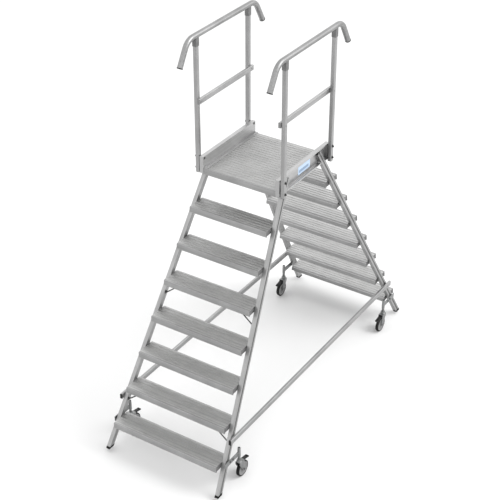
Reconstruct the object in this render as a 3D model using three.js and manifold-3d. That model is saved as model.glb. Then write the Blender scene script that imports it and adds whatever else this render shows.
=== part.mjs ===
// Double-sided rolling platform ladder, in millimetres, +Z up.
// The origin is on the floor under the middle of the platform; +Y points to the rear ladder,
// +X to the right-hand side of someone who climbs the front ladder.
// The ladder stands on its four sprung casters, with its feet a little above the floor.

import * as THREE from 'three';
import { mergeVertices } from 'three/addons/utils/BufferGeometryUtils.js';
import Module from 'manifold-3d';

const wasm = await Module();
wasm.setup();

// ---------------------------------------------------------------- driving dimensions

const GAP = 0.3;

const DECK_TOP = 1930;
const RISE = 240;
const TREADS_PER_LADDER = 7;
const SLOPE = THREE.MathUtils.degToRad(60);
const RUN_PER_MM = 1 / Math.tan(SLOPE);
const SPLAY_PER_MM = 0.0876;
const CLEAR_HALF_AT_DECK = 296.2;
const NOSE_Y_AT_DECK = -348.5;

const TREAD_DEPTH = 163;
const LIP = 45;
const SHEET = 3;
const LIP_RETURN = 10;
const BRACED_TREADS = [3, 6];
const BRACE_DIAMETER = 8;
const BRACE_DROP = 128;
const BRACE_REACH = 150;
const BRACE_SETBACK = 30;

const STILE_WIDTH = 29;
const STILE_DEPTH = 45;
const STILE_WALL = 2.4;
const STILE_SETBACK = 106;
const STILE_FOOT_Z = 40;
const STILE_TOP_Z = 1985;
const GROOVE_WIDTH = 12;
const GROOVE_DEPTH = 4;

const FOOT_BOTTOM_Z = 25;
const FOOT_MARGIN = 1.2;
const PLUG_HEIGHT = 35;

const DECK_HALF_DEPTH = 336;
const DECK_STIFFENERS = 5;

const BEAM_INNER_X = 297.5;
const BEAM_OUTER_X = 328;
const BEAM_TOP_Z = 2018;
const BEAM_BOTTOM_Z = 1890;
const BEAM_HALF_LENGTH = 338;
const BEAM_WALL = 3;
const BEAM_LIP = 7;

const POST = 30;
const POST_WALL = 2;
const POST_X = 350;
const POST_Y = 320;
const POST_BOTTOM_Z = 1888;

const RAIL_DIAMETER = 40;
const RAIL_WALL = 2;
const RAIL_Z = 2910;
const RAIL_BEND_RADIUS = 100;
const RAIL_BEND_ANGLE = THREE.MathUtils.degToRad(60);
const RAIL_CORNER_Y = 411;
const RAIL_END_Z = 2742;
const CONNECTOR_X = 34;
const CONNECTOR_Y = 37;
const CONNECTOR_BOTTOM_Z = 2836;

const FLAT_BAR_WIDTH = 20;
const FLAT_BAR_HEIGHT = 40;
const FLAT_BAR_WALL = 2;
const KNEE_Z = 2438;
const KNEE_HALF_LENGTH = 339;
const TIE_Z = 389;
const TIE_HALF_LENGTH = 1180;

const CASTER_X = 480;
const CASTER_Y = 1080;
const ARM_Z = 230;
const ARM_HEIGHT = 40;
const ARM_THICKNESS = 5;
const ARM_FAR_Y = 1262;
const SLEEVE_DIAMETER = 24;
const SLEEVE_BORE = 17;
const SPRING_POCKET_DIAMETER = 21.4;
const SPRING_POCKET_DEPTH = 10;
const SLEEVE_BOTTOM_Z = 202;
const SLEEVE_TOP_Z = 278;
const STEM_DIAMETER = 16;
const STEM_COLLAR_DIAMETER = 30;
const STEM_COLLAR_HEIGHT = 8;
const STEM_TOP_Z = 272;
const FORK_TOP_Z = 166;
const HEAD_DIAMETER = 38;
const HEAD_BOTTOM_Z = 150;
const WHEEL_RADIUS = 62.5;
const TYRE_WIDTH = 25;
const HUB_WIDTH = 29;
const WHEEL_TRAIL = 38;
const FORK_LEG_X = 17;
const FORK_LEG_THICKNESS = 3;
const AXLE_DIAMETER = 10;
const PEDAL_PIVOT_Y = 28;
const PEDAL_PIVOT_Z = 138;
const PEDAL_PIN_DIAMETER = 6;
const PEDAL_TIP_Y = 108;

// ---------------------------------------------------------------- materials

function metal(colour, roughness, metalness) {
  return new THREE.MeshStandardMaterial({ color: colour, roughness, metalness });
}

const millAluminium = metal(0xb4b6b6, 0.42, 0.9);
const ribbedAluminium = metal(0xacaeae, 0.5, 0.9);
const darkCasting = metal(0x6a6c6e, 0.55, 0.6);
const zincSteel = metal(0x9fa2a4, 0.4, 0.9);
const blackRubber = metal(0x1d1d1e, 0.85, 0);
const blackPlastic = metal(0x151516, 0.5, 0);

// ---------------------------------------------------------------- shape helpers

function outline(points) {
  return new THREE.Shape(points.map(([x, y]) => new THREE.Vector2(x, y)));
}

function rectangle(width, height, radius = 0) {
  const w = width / 2;
  const h = height / 2;
  if (radius === 0) {
    return outline([[-w, -h], [w, -h], [w, h], [-w, h]]);
  }
  const shape = new THREE.Shape();
  shape.absarc(w - radius, h - radius, radius, 0, Math.PI / 2);
  shape.absarc(-w + radius, h - radius, radius, Math.PI / 2, Math.PI);
  shape.absarc(-w + radius, -h + radius, radius, Math.PI, 1.5 * Math.PI);
  shape.absarc(w - radius, -h + radius, radius, 1.5 * Math.PI, 2 * Math.PI);
  return shape;
}

function hollow(outer, inner) {
  outer.holes.push(inner);
  return outer;
}

function extrude(shape, length, curveSegments = 1) {
  const settings = { depth: length, bevelEnabled: false, curveSegments };
  const geometry = new THREE.ExtrudeGeometry(shape, settings);
  geometry.translate(0, 0, -length / 2);
  return geometry;
}

// The outline's (x, y) become (Y, Z), and the length runs along X.
function extrudeAlongX(shape, length, curveSegments) {
  const geometry = extrude(shape, length, curveSegments);
  const turn = new THREE.Matrix4().makeBasis(
    new THREE.Vector3(0, 1, 0),
    new THREE.Vector3(0, 0, 1),
    new THREE.Vector3(1, 0, 0),
  );
  return geometry.applyMatrix4(turn);
}

// The outline's (x, y) become (X, Z), and the length runs along Y.
function extrudeAlongY(shape, length, curveSegments) {
  return extrude(shape, length, curveSegments).rotateX(Math.PI / 2);
}

function box(lowX, highX, lowY, highY, lowZ, highZ) {
  const geometry = new THREE.BoxGeometry(highX - lowX, highY - lowY, highZ - lowZ);
  return geometry.translate((lowX + highX) / 2, (lowY + highY) / 2, (lowZ + highZ) / 2);
}

function uprightCylinder(diameter, lowZ, highZ, sides = 16) {
  const geometry = new THREE.CylinderGeometry(diameter / 2, diameter / 2, highZ - lowZ, sides);
  return geometry.rotateX(Math.PI / 2).translate(0, 0, (lowZ + highZ) / 2);
}

function crossCylinder(diameter, halfLength, y, z, sides = 12) {
  const geometry = new THREE.CylinderGeometry(diameter / 2, diameter / 2, 2 * halfLength, sides);
  return geometry.rotateZ(Math.PI / 2).translate(0, y, z);
}

function mirroredInX(geometry) {
  const mirrored = geometry.index ? geometry.toNonIndexed() : geometry.clone();
  mirrored.deleteAttribute('normal');
  mirrored.deleteAttribute('uv');
  mirrored.scale(-1, 1, 1);
  const position = mirrored.getAttribute('position');
  const second = new THREE.Vector3();
  const third = new THREE.Vector3();
  for (let i = 0; i < position.count; i += 3) {
    second.fromBufferAttribute(position, i + 1);
    third.fromBufferAttribute(position, i + 2);
    position.setXYZ(i + 1, third.x, third.y, third.z);
    position.setXYZ(i + 2, second.x, second.y, second.z);
  }
  mirrored.computeVertexNormals();
  return mirrored;
}

// ---------------------------------------------------------------- cutting and joining

function toSolid(geometry) {
  const bare = geometry.clone();
  bare.deleteAttribute('normal');
  bare.deleteAttribute('uv');
  const merged = mergeVertices(bare, 1e-4);
  const mesh = new wasm.Mesh({
    numProp: 3,
    vertProperties: new Float32Array(merged.getAttribute('position').array),
    triVerts: new Uint32Array(merged.index.array),
  });
  return new wasm.Manifold(mesh);
}

function toGeometry(solid) {
  const mesh = solid.getMesh();
  const geometry = new THREE.BufferGeometry();
  geometry.setAttribute('position', new THREE.BufferAttribute(mesh.vertProperties, 3));
  geometry.setIndex(new THREE.BufferAttribute(mesh.triVerts, 1));
  geometry.computeVertexNormals();
  return geometry;
}

function join(geometries) {
  const solids = geometries.map(toSolid);
  return toGeometry(solids.reduce((whole, next) => whole.add(next)));
}

function cut(geometry, cutters) {
  const solids = cutters.map(toSolid);
  return toGeometry(solids.reduce((whole, next) => whole.subtract(next), toSolid(geometry)));
}

function common(geometry, limit) {
  return toGeometry(toSolid(geometry).intersect(toSolid(limit)));
}

function piece(name, geometry, material) {
  const mesh = new THREE.Mesh(geometry, material);
  mesh.name = name;
  return mesh;
}

// ---------------------------------------------------------------- climbing frame

// Half of the clear width between the stiles at a height: they splay towards the floor.
function clearHalf(z) {
  return CLEAR_HALF_AT_DECK + SPLAY_PER_MM * (DECK_TOP - z);
}

// The line through the front edges of all treads.
function noseY(z) {
  return NOSE_Y_AT_DECK - RUN_PER_MM * (DECK_TOP - z);
}

// The stile's width, measured level.
const stileLevelWidth = STILE_WIDTH * Math.hypot(1, SPLAY_PER_MM);

function stileCentre(z) {
  return new THREE.Vector3(clearHalf(z) + stileLevelWidth / 2, noseY(z) + STILE_SETBACK, z);
}

const stileUp = new THREE.Vector3(-SPLAY_PER_MM, RUN_PER_MM, 1).normalize();

// Turns an extrusion along Z into one along the right-hand stile, centred on a height.
// The inner and outer faces stay parallel to Y, so that the treads fit between them.
function alongStile(geometry, z) {
  const across = new THREE.Vector3(1, 0, SPLAY_PER_MM).normalize();
  const back = new THREE.Vector3().crossVectors(stileUp, across);
  const frame = new THREE.Matrix4().makeBasis(across, back, stileUp);
  frame.setPosition(stileCentre(z));
  return geometry.applyMatrix4(frame);
}

function stileSection() {
  const w = STILE_WIDTH / 2;
  const d = STILE_DEPTH / 2;
  const g = GROOVE_WIDTH / 2;
  const floor = w - GROOVE_DEPTH;
  return outline([
    [-w, -d], [w, -d], [w, -g], [floor, -g],
    [floor, g], [w, g], [w, d], [-w, d],
  ]);
}

function stileBore(clearance) {
  const innerFace = -STILE_WIDTH / 2 + STILE_WALL + clearance;
  const grooveBack = STILE_WIDTH / 2 - GROOVE_DEPTH - STILE_WALL - clearance;
  const half = STILE_DEPTH / 2 - STILE_WALL - clearance;
  return outline([[innerFace, -half], [grooveBack, -half], [grooveBack, half], [innerFace, half]]);
}

// A hollow extrusion with a groove along its outer face. It is cut level at the foot,
// and its top is cut away to lie flat against the web of the side beam.
function rightStile() {
  const middle = (STILE_FOOT_Z + STILE_TOP_Z) / 2;
  const overrun = 60;
  const length = (STILE_TOP_Z - STILE_FOOT_Z) / stileUp.z;
  const tube = extrude(hollow(stileSection(), stileBore(0)), length + overrun);
  tube.translate(0, 0, -overrun / 2);
  alongStile(tube, middle);
  const belowFoot = box(0, 900, -1600, 0, -200, STILE_FOOT_Z);
  const webX = BEAM_INNER_X + BEAM_WALL + GAP;
  const behindWeb = box(200, webX, -600, 0, BEAM_BOTTOM_Z - GAP, 2200);
  return cut(tube, [belowFoot, behindWeb]);
}

// A rubber sole with a plug that sits in the stile's bore.
function rightFoot() {
  const sideways = STILE_WIDTH / 2 + FOOT_MARGIN;
  const lengthways = STILE_DEPTH / 2 + FOOT_MARGIN;
  const soleSection = rectangle(2 * sideways, 2 * lengthways);
  const sole = alongStile(extrude(soleSection, 120), STILE_FOOT_Z);
  const floorSlab = box(0, 900, -1600, -1000, FOOT_BOTTOM_Z, STILE_FOOT_Z - GAP);
  const plug = alongStile(extrude(stileBore(0.4), 200), STILE_FOOT_Z);
  const plugSlab = box(0, 900, -1600, -1000, FOOT_BOTTOM_Z + 2, STILE_FOOT_Z + PLUG_HEIGHT);
  return join([common(sole, floorSlab), common(plug, plugSlab)]);
}

// Section of a tread or deck in (Y, Z): a top sheet with a lip with a small return at the
// front and the back, and stiffening webs under it.
function treadSection(depth, webs) {
  const inner = depth - SHEET;
  const below = -LIP + SHEET;
  const chamfer = 2;
  const points = [
    [0, -chamfer], [0, -LIP], [LIP_RETURN, -LIP], [LIP_RETURN, below],
    [SHEET, below], [SHEET, -SHEET],
  ];
  const webDepth = 0.55 * LIP;
  for (let i = 1; i <= webs; i += 1) {
    const middle = (depth * i) / (webs + 1);
    points.push([middle - SHEET / 2, -SHEET], [middle - SHEET / 2, -webDepth]);
    points.push([middle + SHEET / 2, -webDepth], [middle + SHEET / 2, -SHEET]);
  }
  points.push([inner, -SHEET], [inner, below], [depth - LIP_RETURN, below]);
  points.push([depth - LIP_RETURN, -LIP], [depth, -LIP], [depth, -chamfer]);
  points.push([depth - chamfer, 0], [chamfer, 0]);
  return outline(points);
}

// The tread's ends follow the splay of the stiles that it sits between.
function treadGeometry(z) {
  const geometry = extrudeAlongX(treadSection(TREAD_DEPTH, 1), 2);
  const position = geometry.getAttribute('position');
  for (let i = 0; i < position.count; i += 1) {
    const end = Math.sign(position.getX(i));
    position.setX(i, end * (clearHalf(z + position.getZ(i)) - GAP));
  }
  geometry.computeVertexNormals();
  return geometry;
}

// A round rod from under the tread down to the stile, in the tread's own frame.
function braceRod(z, side) {
  const foot = new THREE.Vector3(side * (clearHalf(z - BRACE_DROP) - 3), BRACE_SETBACK, -BRACE_DROP);
  const head = new THREE.Vector3(foot.x - side * BRACE_REACH, BRACE_SETBACK, -SHEET / 2);
  const along = new THREE.Vector3().subVectors(head, foot);
  const rod = new THREE.CylinderGeometry(BRACE_DIAMETER / 2, BRACE_DIAMETER / 2, along.length(), 8);
  const turn = new THREE.Quaternion();
  turn.setFromUnitVectors(new THREE.Vector3(0, 1, 0), along.clone().normalize());
  const middle = new THREE.Vector3().addVectors(head, foot).multiplyScalar(0.5);
  rod.applyQuaternion(turn).translate(middle.x, middle.y, middle.z);
  const aboveTread = box(-600, 600, -200, 400, -1, 100);
  return cut(rod, [aboveTread]);
}

function tread(name, number) {
  const z = DECK_TOP - number * RISE;
  let geometry = treadGeometry(z);
  if (BRACED_TREADS.includes(number)) {
    geometry = join([geometry, braceRod(z, -1), braceRod(z, 1)]);
  }
  const mesh = piece(name, geometry, ribbedAluminium);
  mesh.position.set(0, noseY(z), z);
  return mesh;
}

// ---------------------------------------------------------------- casters

// The arm is a flat bar on the stile's outer face; the sleeve guides the caster's stem, and
// the pocket in its lower end holds the stem's spring.
// Everything of a caster is drawn around its stem's axis, with the wheel trailing to +Y.
function bracketGeometry() {
  const sleeve = uprightCylinder(SLEEVE_DIAMETER, SLEEVE_BOTTOM_Z, SLEEVE_TOP_Z);
  const bore = uprightCylinder(SLEEVE_BORE, SLEEVE_BOTTOM_Z - 1, SLEEVE_TOP_Z + 1);
  const pocketTop = SLEEVE_BOTTOM_Z + SPRING_POCKET_DEPTH;
  const pocket = uprightCylinder(SPRING_POCKET_DIAMETER, SLEEVE_BOTTOM_Z - 1, pocketTop);
  const half = ARM_THICKNESS / 2;
  const arm = box(
    -half, half, CASTER_Y - ARM_FAR_Y, 0,
    ARM_Z - ARM_HEIGHT / 2, ARM_Z + ARM_HEIGHT / 2,
  );
  return cut(join([sleeve, arm]), [bore, pocket]);
}

function stemGeometry() {
  const collarTop = FORK_TOP_Z + STEM_COLLAR_HEIGHT;
  const shaft = uprightCylinder(STEM_DIAMETER, FORK_TOP_Z + 1, STEM_TOP_Z);
  return join([uprightCylinder(STEM_COLLAR_DIAMETER, FORK_TOP_Z, collarTop), shaft]);
}

function forkLeg(side) {
  const shape = new THREE.Shape();
  const foot = 14;
  const lean = Math.PI / 7;
  shape.moveTo(-19, HEAD_BOTTOM_Z + 2);
  shape.lineTo(-19, HEAD_BOTTOM_Z - 20);
  shape.absarc(WHEEL_TRAIL, WHEEL_RADIUS, foot, Math.PI + lean / 2, 2 * Math.PI + lean);
  shape.lineTo(PEDAL_PIVOT_Y + 12, PEDAL_PIVOT_Z);
  shape.lineTo(PEDAL_PIVOT_Y + 10, HEAD_BOTTOM_Z + 2);
  const leg = extrudeAlongX(shape, FORK_LEG_THICKNESS, 3);
  return leg.translate(side * (FORK_LEG_X + FORK_LEG_THICKNESS / 2), 0, 0);
}

function forkGeometry() {
  const outerX = FORK_LEG_X + FORK_LEG_THICKNESS;
  const head = uprightCylinder(HEAD_DIAMETER, HEAD_BOTTOM_Z, FORK_TOP_Z - GAP);
  const crown = box(-outerX, outerX, -19, 19, HEAD_BOTTOM_Z - 1, HEAD_BOTTOM_Z + 2);
  const axle = crossCylinder(AXLE_DIAMETER, outerX + 5, WHEEL_TRAIL, WHEEL_RADIUS);
  const pin = crossCylinder(PEDAL_PIN_DIAMETER, outerX + 2, PEDAL_PIVOT_Y, PEDAL_PIVOT_Z, 8);
  return join([head, crown, forkLeg(-1), forkLeg(1), axle, pin]);
}

function wheelGeometry() {
  const bore = AXLE_DIAMETER / 2 + GAP;
  const hub = HUB_WIDTH / 2;
  const tyre = TYRE_WIDTH / 2;
  const disc = 5;
  const hubRadius = 17;
  const rimRadius = 45;
  const half = [
    [bore, hub], [hubRadius, hub], [hubRadius, disc], [rimRadius, disc],
    [rimRadius, tyre], [WHEEL_RADIUS - 3.5, tyre], [WHEEL_RADIUS, tyre - 4.5],
  ];
  const otherHalf = half.map(([r, x]) => [r, -x]);
  const loop = [...otherHalf, ...half.reverse(), otherHalf[0]];
  const points = loop.map(([r, x]) => new THREE.Vector2(r, x));
  return new THREE.LatheGeometry(points, 24).rotateZ(Math.PI / 2);
}

// A foot lever that tips about a pin through the fork. It slopes down behind the wheel's top.
function pedalGeometry() {
  const boss = crossCylinder(14, FORK_LEG_X - 1, PEDAL_PIVOT_Y, PEDAL_PIVOT_Z);
  const lever = outline([
    [PEDAL_PIVOT_Y - 4, PEDAL_PIVOT_Z - 5], [PEDAL_PIVOT_Y + 30, PEDAL_PIVOT_Z - 5],
    [PEDAL_TIP_Y, PEDAL_PIVOT_Z - 15], [PEDAL_TIP_Y, PEDAL_PIVOT_Z - 6],
    [PEDAL_TIP_Y - 24, PEDAL_PIVOT_Z - 2], [PEDAL_PIVOT_Y + 22, PEDAL_PIVOT_Z + 5],
    [PEDAL_PIVOT_Y - 4, PEDAL_PIVOT_Z + 5],
  ]);
  const arm = extrudeAlongX(lever, 2 * (FORK_LEG_X - 3));
  const hole = crossCylinder(PEDAL_PIN_DIAMETER + 2 * GAP, 40, PEDAL_PIVOT_Y, PEDAL_PIVOT_Z, 8);
  return cut(join([boss, arm]), [hole]);
}

function caster(label, side) {
  const group = new THREE.Group();
  group.position.set(side * CASTER_X, -CASTER_Y, 0);
  const wheel = piece(`${label}_wheel`, wheelGeometry(), blackRubber);
  wheel.position.set(0, WHEEL_TRAIL, WHEEL_RADIUS);
  group.add(
    piece(`${label}_caster_bracket`, bracketGeometry(), zincSteel),
    piece(`${label}_caster_stem`, stemGeometry(), zincSteel),
    piece(`${label}_caster_fork`, forkGeometry(), zincSteel),
    wheel,
    piece(`${label}_brake_pedal`, pedalGeometry(), blackPlastic),
  );
  return group;
}

// ---------------------------------------------------------------- one ladder

// Drawn as the front ladder. The rear one is the same, turned half a turn about Z,
// so its local right-hand side is the object's left-hand side.
function ladder(end, turned) {
  const group = new THREE.Group();
  const sides = turned ? { 1: 'left', '-1': 'right' } : { 1: 'right', '-1': 'left' };
  for (const side of [1, -1]) {
    const label = `${end}_${sides[side]}`;
    const shaped = (geometry) => (side === 1 ? geometry : mirroredInX(geometry));
    group.add(
      piece(`${label}_stile`, shaped(rightStile()), millAluminium),
      piece(`${label}_foot`, shaped(rightFoot()), blackRubber),
      caster(label, side),
    );
  }
  for (let number = 1; number <= TREADS_PER_LADDER; number += 1) {
    group.add(tread(`${end}_tread_${number}`, number));
  }
  group.rotation.z = turned ? Math.PI : 0;
  return group;
}

// ---------------------------------------------------------------- platform

function deck() {
  const section = treadSection(2 * DECK_HALF_DEPTH, DECK_STIFFENERS);
  const geometry = extrudeAlongX(section, 2 * (BEAM_INNER_X - GAP));
  const mesh = piece('platform_deck', geometry, ribbedAluminium);
  mesh.position.set(0, -DECK_HALF_DEPTH, DECK_TOP);
  return mesh;
}

// A C-section beam that opens outwards, closed at both ends by plates. The stile tops
// come up through notches in its bottom flange.
function rightSideBeam() {
  const webX = BEAM_INNER_X + BEAM_WALL;
  const lipX = BEAM_OUTER_X - BEAM_WALL;
  const top = BEAM_TOP_Z - BEAM_WALL;
  const bottom = BEAM_BOTTOM_Z + BEAM_WALL;
  const section = outline([
    [BEAM_INNER_X, BEAM_BOTTOM_Z], [BEAM_OUTER_X, BEAM_BOTTOM_Z],
    [BEAM_OUTER_X, bottom + BEAM_LIP], [lipX, bottom + BEAM_LIP], [lipX, bottom],
    [webX, bottom], [webX, top], [lipX, top], [lipX, top - BEAM_LIP],
    [BEAM_OUTER_X, top - BEAM_LIP], [BEAM_OUTER_X, BEAM_TOP_Z], [BEAM_INNER_X, BEAM_TOP_Z],
  ]);
  const channel = extrudeAlongY(section, 2 * BEAM_HALF_LENGTH);
  const plates = [-1, 1].map((end) => {
    const far = end * BEAM_HALF_LENGTH;
    const near = end * (BEAM_HALF_LENGTH - BEAM_WALL);
    return box(
      BEAM_INNER_X, BEAM_OUTER_X, Math.min(near, far), Math.max(near, far),
      BEAM_BOTTOM_Z, BEAM_TOP_Z,
    );
  });
  const stileY = stileCentre(BEAM_BOTTOM_Z).y;
  const notchHalf = STILE_DEPTH / 2 / Math.sin(SLOPE) + 8;
  const notches = [-1, 1].map((end) => {
    const middle = -end * stileY;
    return box(
      webX + 0.01, BEAM_OUTER_X + 1, middle - notchHalf, middle + notchHalf,
      BEAM_BOTTOM_Z - 1, bottom + BEAM_LIP + 1,
    );
  });
  return cut(join([channel, ...plates]), notches);
}

// ---------------------------------------------------------------- guard rails

function flatBar(name, halfLength, x, z) {
  const radius = 4;
  const outer = rectangle(FLAT_BAR_WIDTH, FLAT_BAR_HEIGHT, radius);
  const wall = 2 * FLAT_BAR_WALL;
  const inner = rectangle(FLAT_BAR_WIDTH - wall, FLAT_BAR_HEIGHT - wall, radius - FLAT_BAR_WALL);
  const mesh = piece(name, extrudeAlongY(hollow(outer, inner), 2 * halfLength), millAluminium);
  mesh.position.set(x, 0, z);
  return mesh;
}

function postTopZ() {
  return RAIL_Z - RAIL_DIAMETER / 2 - 4;
}

function post(name, x, y) {
  const outer = rectangle(POST, POST, 4);
  const inner = rectangle(POST - 2 * POST_WALL, POST - 2 * POST_WALL, 2);
  const height = postTopZ() - POST_BOTTOM_Z;
  const mesh = piece(name, extrude(hollow(outer, inner), height), millAluminium);
  mesh.position.set(x, y, POST_BOTTOM_Z + height / 2);
  return mesh;
}

// A cap over the post's top with a saddle for the handrail.
function connectorGeometry() {
  const top = RAIL_Z - 5;
  const height = top - CONNECTOR_BOTTOM_Z;
  const block = extrude(rectangle(CONNECTOR_X, CONNECTOR_Y, 3), height);
  block.translate(0, 0, CONNECTOR_BOTTOM_Z + height / 2);
  const pocketTop = postTopZ() + GAP;
  const pocketHeight = pocketTop - CONNECTOR_BOTTOM_Z + 1;
  const pocket = extrude(rectangle(POST + 2 * GAP, POST + 2 * GAP, 4), pocketHeight);
  pocket.translate(0, 0, pocketTop - pocketHeight / 2);
  const rail = new THREE.CylinderGeometry(
    RAIL_DIAMETER / 2 + GAP, RAIL_DIAMETER / 2 + GAP, 2 * CONNECTOR_Y, 16,
  );
  rail.translate(0, 0, RAIL_Z);
  return cut(block, [pocket, rail]);
}

// A curve that is sampled exactly at its stations, so that bends get their own sections.
class StationCurve extends THREE.Curve {
  constructor(stations) {
    super();
    this.stations = stations;
  }

  getPoint(t, target = new THREE.Vector3()) {
    const spans = this.stations.length - 1;
    const place = Math.min(Math.max(t, 0), 1) * spans;
    const index = Math.min(Math.floor(place), spans - 1);
    return target.lerpVectors(this.stations[index], this.stations[index + 1], place - index);
  }

  getUtoTmapping(u) {
    return u;
  }
}

// Half of the handrail's centre line, from the middle to the end that points down.
function handrailHalf() {
  const bendSections = 4;
  const tangent = RAIL_BEND_RADIUS * Math.tan(RAIL_BEND_ANGLE / 2);
  const bendStart = RAIL_CORNER_Y - tangent;
  const stations = [];
  for (let i = 0; i <= bendSections; i += 1) {
    const angle = (RAIL_BEND_ANGLE * i) / bendSections;
    const y = bendStart + RAIL_BEND_RADIUS * Math.sin(angle);
    const z = RAIL_Z - RAIL_BEND_RADIUS * (1 - Math.cos(angle));
    stations.push(new THREE.Vector3(0, y, z));
  }
  const drop = RAIL_Z - RAIL_END_Z;
  stations.push(new THREE.Vector3(0, RAIL_CORNER_Y + drop / Math.tan(RAIL_BEND_ANGLE), RAIL_END_Z));
  return stations;
}

function handrailGeometry() {
  const half = handrailHalf();
  const otherHalf = half.map((p) => new THREE.Vector3(p.x, -p.y, p.z)).reverse();
  const stations = [...otherHalf, ...half];
  const section = new THREE.Shape().absarc(0, 0, RAIL_DIAMETER / 2, 0, 2 * Math.PI);
  section.holes.push(new THREE.Path().absarc(0, 0, RAIL_DIAMETER / 2 - RAIL_WALL, 0, 2 * Math.PI));
  return new THREE.ExtrudeGeometry(section, {
    steps: stations.length - 1,
    curveSegments: 8,
    extrudePath: new StationCurve(stations),
  });
}

function guardRail(side, sign) {
  const group = new THREE.Group();
  const rail = piece(`${side}_handrail`, handrailGeometry(), millAluminium);
  rail.position.x = sign * POST_X;
  const kneeX = sign * (POST_X - (POST + FLAT_BAR_WIDTH) / 2 - GAP);
  group.add(rail, flatBar(`${side}_knee_rail`, KNEE_HALF_LENGTH, kneeX, KNEE_Z));
  for (const [end, y] of [['front', -POST_Y], ['rear', POST_Y]]) {
    const connector = piece(`${end}_${side}_rail_connector`, connectorGeometry(), darkCasting);
    connector.position.set(sign * POST_X, y, 0);
    group.add(post(`${end}_${side}_post`, sign * POST_X, y), connector);
  }
  return group;
}

// ---------------------------------------------------------------- the whole ladder

const rollingLadder = new THREE.Group();
rollingLadder.add(ladder('front', false), ladder('rear', true), deck());

for (const [side, sign] of [['right', 1], ['left', -1]]) {
  const beam = sign === 1 ? rightSideBeam() : mirroredInX(rightSideBeam());
  const lowEdge = TIE_Z - FLAT_BAR_HEIGHT / 2;
  const stileOuterX = clearHalf(lowEdge) + stileLevelWidth + GAP;
  rollingLadder.add(
    piece(`${side}_side_beam`, beam, millAluminium),
    flatBar(`${side}_tie_bar`, TIE_HALF_LENGTH, sign * (stileOuterX + FLAT_BAR_WIDTH / 2), TIE_Z),
    guardRail(side, sign),
  );
}

export default rollingLadder;
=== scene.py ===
"""Looks of a double-sided rolling platform ladder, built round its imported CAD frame.

The CAD frame is in metres. The shapes below are drawn in millimetres and scaled once, when a
piece is finished. A ladder's parts are drawn at the front right-hand corner and then mirrored
or turned to the other corners, because the rear ladder is the front one turned half a turn.
"""

import math

import bmesh
import bpy
from mathutils import Matrix, Vector


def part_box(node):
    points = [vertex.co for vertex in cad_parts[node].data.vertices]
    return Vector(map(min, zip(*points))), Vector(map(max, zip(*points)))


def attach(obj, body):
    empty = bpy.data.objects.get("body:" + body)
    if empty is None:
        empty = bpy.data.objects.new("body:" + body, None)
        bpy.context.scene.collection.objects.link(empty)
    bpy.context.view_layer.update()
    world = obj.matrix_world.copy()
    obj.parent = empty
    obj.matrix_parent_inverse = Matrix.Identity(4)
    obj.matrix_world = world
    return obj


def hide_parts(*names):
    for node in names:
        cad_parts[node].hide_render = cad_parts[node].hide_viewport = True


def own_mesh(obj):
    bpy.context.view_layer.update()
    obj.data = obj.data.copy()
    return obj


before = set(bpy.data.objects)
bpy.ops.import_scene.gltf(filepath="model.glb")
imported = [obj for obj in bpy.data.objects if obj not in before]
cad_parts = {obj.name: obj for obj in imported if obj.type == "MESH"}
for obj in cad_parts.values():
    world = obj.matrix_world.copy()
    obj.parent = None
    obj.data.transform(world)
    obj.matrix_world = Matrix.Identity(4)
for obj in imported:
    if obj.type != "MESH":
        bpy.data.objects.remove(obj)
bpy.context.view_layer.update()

X_AXIS = Vector((1, 0, 0))
Y_AXIS = Vector((0, 1, 0))
Z_AXIS = Vector((0, 0, 1))


# ---------------------------------------------------------------- camera

CAMERA_PLACE = (4.2815, -6.8225, 6.2895)
CAMERA_TURN = (math.radians(57.59), 0, math.radians(32.865))
CAMERA_LENS = 92.84


def add_camera():
    """Looks down on the front right-hand corner, from well above the handrails."""
    data = bpy.data.cameras.new("camera")
    data.sensor_width = 36
    data.lens = CAMERA_LENS
    data.clip_end = 60
    camera = bpy.data.objects.new("camera", data)
    camera.location = CAMERA_PLACE
    camera.rotation_euler = CAMERA_TURN
    bpy.context.scene.collection.objects.link(camera)
    bpy.context.scene.camera = camera


add_camera()


# ---------------------------------------------------------------- driving dimensions, in mm

SLOPE = math.radians(60)
RUN_PER_MM = 1 / math.tan(SLOPE)
TREADS = 7
BRACED_TREADS = (3, 6)
GAP = 0.3


def low(node):
    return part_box(node)[0] * 1000


def high(node):
    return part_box(node)[1] * 1000


DECK_TOP = high("platform_deck").z
DECK_HALF_DEPTH = high("platform_deck").y
RISE = DECK_TOP - high("front_tread_1").z
TREAD_DEPTH = high("front_tread_1").y - low("front_tread_1").y
TREAD_LIP = high("front_tread_1").z - low("front_tread_1").z
NOSE_Y_AT_DECK = low("front_tread_1").y + RUN_PER_MM * RISE
SPLAY = (high("front_tread_7").x - high("front_tread_1").x) / ((TREADS - 1) * RISE)
CLEAR_HALF_AT_DECK = high("front_tread_1").x + GAP - SPLAY * (RISE + TREAD_LIP)

STILE_WIDTH = 29
STILE_DEPTH = 45
STILE_SETBACK = 106
GROOVE_DEPTH = 4
GROOVE_WIDTH = 12
STILE_LEVEL_WIDTH = STILE_WIDTH * math.hypot(1, SPLAY)

BEAM_INNER_X = high("platform_deck").x + GAP
BEAM_OUTER_X = high("right_side_beam").x
POST_X = (low("front_right_post").x + high("front_right_post").x) / 2
POST_Y = (low("rear_right_post").y + high("rear_right_post").y) / 2
POST_SIZE = high("front_right_post").x - low("front_right_post").x
KNEE_Z = (low("right_knee_rail").z + high("right_knee_rail").z) / 2
KNEE_X = (low("right_knee_rail").x + high("right_knee_rail").x) / 2
TIE_Z = (low("right_tie_bar").z + high("right_tie_bar").z) / 2
TIE_X = (low("right_tie_bar").x + high("right_tie_bar").x) / 2
FLAT_BAR = (20, 40)
BAR_WALL = 2
BAR_CORNER = 4


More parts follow.
